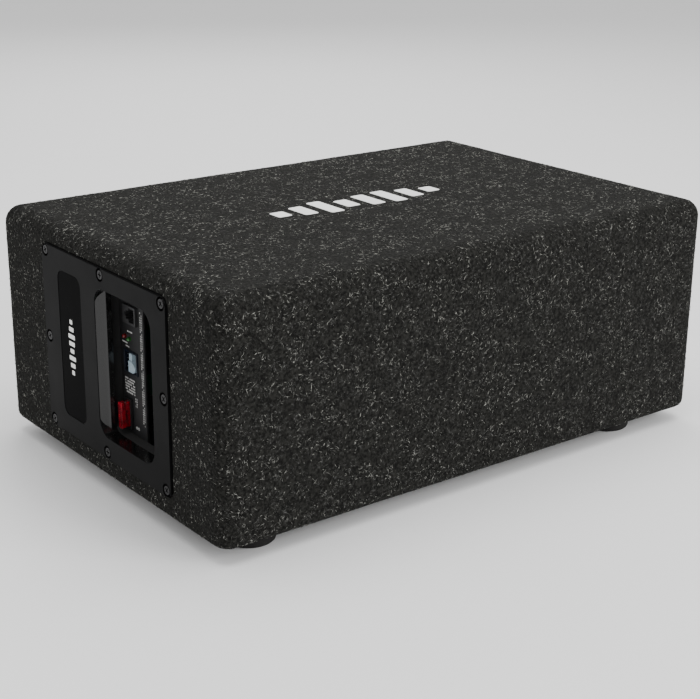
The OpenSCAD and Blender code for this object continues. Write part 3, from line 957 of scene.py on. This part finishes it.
    def bars(self) -> list[tuple[np.ndarray, np.ndarray]]:
        """The lowest and highest corner of each of the emblem's bars."""
        points = np.array([v.co[:] for v in self.shop.frame["nodes"]["top_emblem"].data.vertices])
        points = points[np.argsort(points[:, 0])]
        breaks = np.flatnonzero(np.diff(points[:, 0]) > self.bar_gap) + 1
        return [(bar.min(axis=0), bar.max(axis=0)) for bar in np.split(points, breaks)]

    def lay(self, name: str, shapes: list[np.ndarray], faces: list[tuple[int, ...]], spots: np.ndarray,
            normals: np.ndarray, draw: np.random.Generator) -> bpy.types.Object:
        """Copies fibres to their places in one mesh.

        Args:
            name: The piece's name.
            shapes: The fibres' points.
            faces: The faces of one fibre.
            spots: Where each fibre lies.
            normals: The carpet's normal at each place.
            draw: The random draw.

        Returns:
            The piece.
        """
        count = len(spots)
        turn = draw.random(count) * 2 * math.pi
        length = (1.2 + 2.8 * draw.random(count) ** 2) * MM
        thick = (0.07 + 0.08 * draw.random(count) ** 2) * MM
        lift = (0.05 + 0.3 * draw.random(count)) * MM
        tilt = draw.normal(0.0, 0.13, count)
        helper = np.where(np.abs(normals[:, 2:3]) < 0.9, [[0.0, 0.0, 1.0]], [[1.0, 0.0, 0.0]])
        first = np.cross(helper, normals)
        first /= np.linalg.norm(first, axis=1)[:, None]
        second = np.cross(normals, first)
        ahead = np.cos(turn)[:, None] * first + np.sin(turn)[:, None] * second
        aside = np.cross(normals, ahead)
        ahead = ahead + tilt[:, None] * normals
        stock = np.stack(shapes)[draw.integers(0, len(shapes), count)]
        x, y, z, curl = (stock[:, :, i] for i in range(4))
        points = spots[:, None, :] + (length[:, None] * x)[:, :, None] * ahead[:, None, :]
        points += (thick[:, None] * y + length[:, None] * curl)[:, :, None] * aside[:, None, :]
        points += (thick[:, None] * z + lift[:, None])[:, :, None] * normals[:, None, :]
        per = stock.shape[1]
        mesh = bpy.data.meshes.new(name)
        mesh.from_pydata(points.reshape(-1, 3).tolist(), [],
                         [tuple(v + i * per for v in f) for i in range(count) for f in faces])
        mesh.update()
        piece = bpy.data.objects.new(name, mesh)
        bpy.context.scene.collection.objects.link(piece)
        return piece

    def feet(self) -> None:
        """The rubber feet and their screws."""
        self.shop.refine("feet", "foot_rubber", "rubber_foot", 0.6 * MM)
        self.shop.refine("foot_screws", "zinc_plate", "zinc_screw", 0.15 * MM)

    def emblem(self) -> None:
        """The printed bars on the lid."""
        self.shop.refine("top_emblem", "white_print", "print_white", 0.12 * MM)

    def inside(self) -> None:
        """The boards, the wadding and the port."""
        boards = ("top", "bottom", "front", "rear", "left", "right")
        self.shop.dress("raw_board", *(f"{side}_board" for side in boards))
        self.shop.dress("polyester_wool", "wadding")
        self.shop.refine("port_tube", "moulded_port", "port_plastic", 0.4 * MM, degrees=50.0)


@dataclass
class AmplifierPanel:
    """The moulded panel in the left end, with its label, screws and recess."""

    shop: Workshop
    edge: float = 0.5 * MM

    def build(self) -> None:
        """Builds the panel's pieces in order."""
        self.moulding()
        self.shop.refine("panel_screws", "black_oxide", "black_screw", 0.12 * MM)
        self.shop.refine("label_plate", "label_gloss", "gloss_black", 0.15 * MM)
        self.shop.refine("label_emblem", "white_print", "print_white", 0.0)
        self.shop.refine("recess_seal", "black_foam", "foam", 0.3 * MM)
        self.shop.dress("black_foam", "panel_gasket")

    def moulding(self) -> None:
        """The panel with softened edges, satin outside and polished inside the recess."""
        piece = refined(self.shop.frame, "panel", "panel_moulding", self.edge, 3, 20.0)
        paint_over(piece, self.shop.finishes["textured_satin"])
        piece.data.materials.append(self.shop.finishes["polished_black"])
        low, high = corners("recess_seal")
        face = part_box("panel")[0][0] + 0.1 * MM
        for polygon in piece.data.polygons:
            spot = polygon.center
            within = low.y < spot.y < high.y and low.z < spot.z < high.z
            if within and spot.x > face and abs(polygon.normal.x) < 0.97:
                polygon.material_index = 1
        self.shop.hand_over(piece, Body.CABINET, "panel_plastic", ["panel"])


@dataclass
class Amplifier:
    """The control plate, everything on it, and the electronics behind it."""

    shop: Workshop

    def build(self) -> None:
        """Builds the amplifier's pieces in order."""
        refine = self.shop.refine
        refine("control_plate", "powder_coat", "control_paint", 0.15 * MM)
        self.shop.dress("small_print", "control_legends")
        refine("remote_jack", "jack_nylon", "black_plastic", 0.3 * MM)
        self.shop.dress("gold_flash", "jack_contacts")
        refine("fault_led", "lamp_red", "led_red", 0.0)
        refine("power_led", "lamp_green", "led_green", 0.0)
        refine("header_shell", "header_nylon", "header_dark", 0.2 * MM)
        refine("header_block", "pale_nylon", "header_pale", 0.2 * MM)
        refine("fuse_holder", "black_nylon", "black_plastic", 0.25 * MM)
        # The fuse body's finish carries a painted glow; the fuse is no lamp.
        refine("fuse_body", "fuse_red", "fuse_red", 0.3 * MM, Body.FUSE)
        refine("fuse_blades", "tinned", "tin", 0.08 * MM, Body.FUSE)
        self.electronics()

    def electronics(self) -> None:
        """Dresses the pieces inside the housing."""
        dress = self.shop.dress
        dress("tinned", "header_pins", "led_legs")
        dress("galvanised", "amp_housing", "clamp_bar")
        dress("extruded_aluminium", "heat_sink")
        dress("solder_mask", "circuit_board")
        dress("turned_brass", "board_standoffs")
        dress("zinc_plate", "board_screws")
        dress("can_sleeve", "capacitors")
        dress("core_paint", "choke")
        dress("enamelled_wire", "choke_winding")
        dress("black_nylon", "transistors", "lead_grommet")
        dress("wire_sleeve", "speaker_leads")


@dataclass
class Driver:
    """The driver under the cabinet.

    The roll reaches from the cone's rim to its fixed edge. The spider's fixed and free radii are given,
    but nothing bends it between them.
    """

    shop: Workshop
    roll_reach: float = 13.5 * MM
    spider_fixed: float = 44.0 * MM
    spider_free: float = 22.0 * MM

    def build(self) -> None:
        """Builds the driver's pieces in order."""
        low, high = corners("cone")
        cone_radius = (high.x - low.x) / 2
        refine = self.shop.refine
        refine("basket", "epoxy_black", "basket_paint", 0.3 * MM)
        refine("driver_gasket", "black_foam", "foam", 0.4 * MM)
        refine("driver_screws", "black_oxide", "black_screw", 0.12 * MM)
        self.suspend("surround", "roll_rubber", cone_radius + self.roll_reach, cone_radius)
        self.suspend("spider", "dipped_cloth", self.spider_fixed, self.spider_free, cuts=1)
        refine("cone", "coated_pulp", "cone_pulp", 0.2 * MM, Body.CONE)
        refine("dust_cap", "dome_skin", "cap_plastic", 0.0, Body.CONE)
        self.motor()

    def suspend(self, node: str, finish: str, fixed: float, free: float, cuts: int = 0) -> None:
        """Replaces a ring of the suspension by a finished copy, which is put on no body and keeps its shape.

        Args:
            node: The ring's node.
            finish: The finish's name.
            fixed: The outer radius, in metres, handed to bend_by_radius.
            free: The inner radius, in metres, handed to bend_by_radius.
            cuts: How many times its edges are cut.
        """
        piece = refined(self.shop.frame, node, f"{node}_finished", 0.0)
        if cuts:
            pick(piece)
            bpy.ops.object.mode_set(mode="EDIT")
            bpy.ops.mesh.select_all(action="SELECT")
            bpy.ops.mesh.quads_convert_to_tris()
            bpy.ops.mesh.subdivide(number_cuts=cuts)
            bpy.ops.object.mode_set(mode="OBJECT")
        paint_over(piece, self.shop.finishes[finish])
        self.bend_by_radius(piece, fixed, free)
        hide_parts(node)

    @staticmethod
    def bend_by_radius(piece: bpy.types.Object, fixed: float, free: float) -> None:
        """Lays a round piece's points along X at their radius from the driver's axis, bakes its transform,
        then puts them back.

        Nothing of the laid-out points is kept, so the piece does not bend.

        Args:
            piece: The piece, its mesh final.
            fixed: Not used.
            free: Not used.
        """
        low, high = corners("cone")
        middle = (low + high) / 2
        rest = np.empty(len(piece.data.vertices) * 3, np.float32)
        piece.data.vertices.foreach_get("co", rest)
        places = rest.reshape(-1, 3)
        radii = np.zeros_like(places)
        radii[:, 0] = np.hypot(places[:, 0] - middle.x, places[:, 1] - middle.y)
        piece.data.vertices.foreach_set("co", radii.ravel())
        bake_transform(piece)
        piece.data.vertices.foreach_set("co", rest)
        piece.data.update()

    def motor(self) -> None:
        """Dresses the magnet system and the moving coil."""
        dress = self.shop.dress
        dress("bright_foil", "coil_former")
        dress("enamelled_wire", "voice_coil")
        dress("phenolic", "terminal_strip")
        dress("bare_steel", "top_plate", "yoke")
        dress("sintered_ferrite", "magnet")


@dataclass
class Studio:
    """The pale floor, the soft lights and the camera."""

    azimuth: float = -37.64
    elevation: float = 19.24
    roll: float = 0.53
    lens: float = 77.14
    stand: tuple[float, float, float] = (-0.6735, -0.8669, 0.4442)
    lights: list[tuple[str, Colour, float, float]] = field(default_factory=lambda: [
        ("overhead", (0.1, -0.1, 1.7), 1.6, 24.0),
        ("left_front", (-1.9, -0.9, 0.9), 1.2, 6.0),
        ("right_front", (1.0, -2.2, 1.0), 1.4, 42.0),
        ("back_rim", (0.9, 1.6, 1.2), 1.0, 10.0),
    ])

    def build(self) -> None:
        """Sets the studio up."""
        self.floor()
        self.world()
        for light in self.lights:
            self.softbox(*light)
        self.camera()

    def floor(self) -> None:
        """A wide plain floor."""
        deselect()
        bpy.ops.mesh.primitive_plane_add(size=14.0, location=(0.0, 0.0, 0.0))
        floor = bpy.context.object
        floor.name = "studio_floor"
        paint = Paint("pale_floor")
        paint.set("Base Color", paint.blend(paint.noise(3.0), (0.91, 0.91, 0.91), (0.93, 0.93, 0.93)))
        paint.set("Roughness", 0.7)
        paint_over(floor, paint.material)

    def world(self) -> None:
        """A white surround for fill light and reflections."""
        world = bpy.data.worlds.new("white_surround")
        world.use_nodes = True
        background = world.node_tree.nodes["Background"]
        background.inputs["Color"].default_value = (1.0, 1.0, 1.0, 1.0)
        background.inputs["Strength"].default_value = 0.8
        bpy.context.scene.world = world

    def softbox(self, name: str, place: Colour, size: float, power: float) -> None:
        """One square area light that faces the object.

        Args:
            name: The light's name.
            place: Where it hangs.
            size: Its side, in metres.
            power: Its power, in watts.
        """
        lamp = bpy.data.lights.new(name, "AREA")
        lamp.size = size
        lamp.energy = power
        light = bpy.data.objects.new(name, lamp)
        light.location = place
        light.rotation_euler = (Vector((0.0, 0.0, 0.08)) - Vector(place)).to_track_quat("-Z", "Y").to_euler()
        bpy.context.scene.collection.objects.link(light)

    def camera(self) -> None:
        """A long lens from the left front corner, a little above the lid."""
        a, e, r = (math.radians(v) for v in (self.azimuth, self.elevation, self.roll))
        back = Vector((math.sin(a) * math.cos(e), -math.cos(a) * math.cos(e), math.sin(e)))
        right = Vector((math.cos(a), math.sin(a), 0.0))
        up = back.cross(right)
        turned_right = math.cos(r) * right + math.sin(r) * up
        turned_up = math.cos(r) * up - math.sin(r) * right
        data = bpy.data.cameras.new("camera")
        data.lens = self.lens
        data.sensor_width = 36.0
        camera = bpy.data.objects.new("camera", data)
        turn = Matrix((turned_right, turned_up, back)).transposed()
        camera.matrix_world = Matrix.Translation(Vector(self.stand)) @ turn.to_4x4()
        bpy.context.scene.collection.objects.link(camera)
        bpy.context.scene.camera = camera


def main() -> None:
    """Builds every sub-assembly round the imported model."""
    logging.basicConfig(level=logging.INFO, format="%(name)s: %(message)s")
    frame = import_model()
    cone_low, cone_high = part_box("cone")
    finishes = Finishes(((cone_low[0] + cone_high[0]) / 2, (cone_low[1] + cone_high[1]) / 2))
    shop = Workshop(frame, finishes)
    Studio().build()
    for assembly in (Cabinet(shop), AmplifierPanel(shop), Amplifier(shop), Driver(shop)):
        assembly.build()
        log.info("%s is finished", type(assembly).__name__)


if __name__ == "__main__":
    main()
